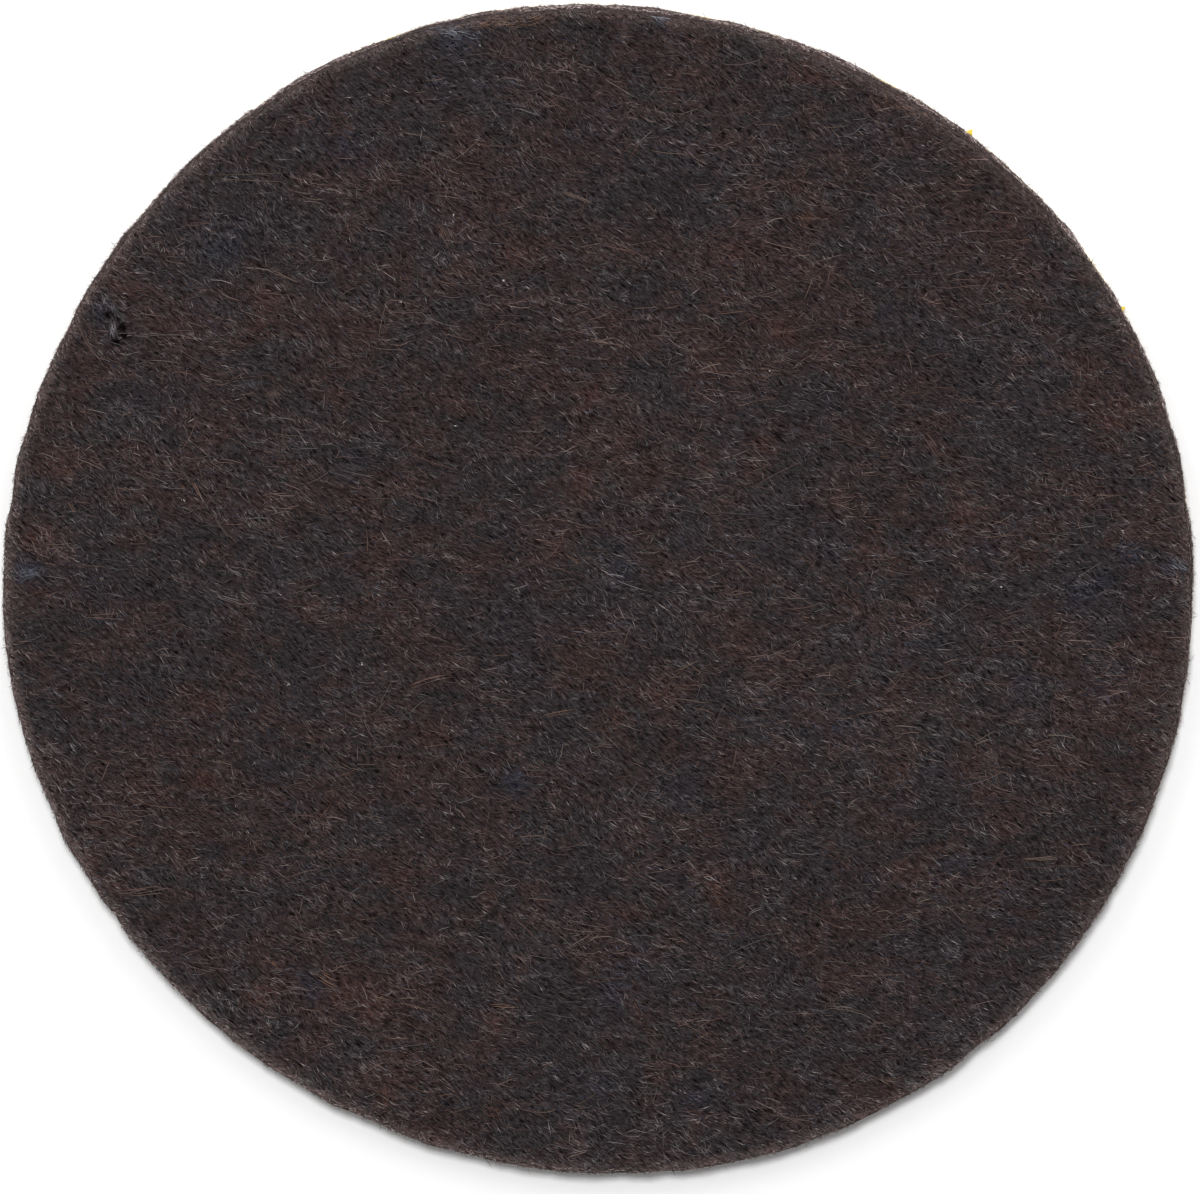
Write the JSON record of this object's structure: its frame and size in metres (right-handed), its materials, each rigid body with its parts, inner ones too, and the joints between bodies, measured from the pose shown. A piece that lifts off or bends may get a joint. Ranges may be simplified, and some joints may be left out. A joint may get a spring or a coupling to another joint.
{
  "type": "felt furniture glide",
  "caption": "Round self-adhesive felt disc that sticks under a furniture leg so that it slides without scratching, with its release liner still on.",
  "frame": {"origin": "middle of the underside, on the surface that the glide lies on", "axes": "+Z out of the felt's wear face; X and Y lie in the plane of the disc, which has no marked direction"},
  "size_m": [0.0763, 0.0763, 0.003],
  "materials": {
    "felt": "matt needled felt, dark brown and charcoal fibres mixed",
    "adhesive": "tacky cream adhesive film",
    "liner_paper": "smooth yellow release paper"
  },
  "bodies": {
    "root": {"felt_pad": "felt", "adhesive_film": "adhesive", "release_liner": "liner_paper"}
  },
  "joints": []
}
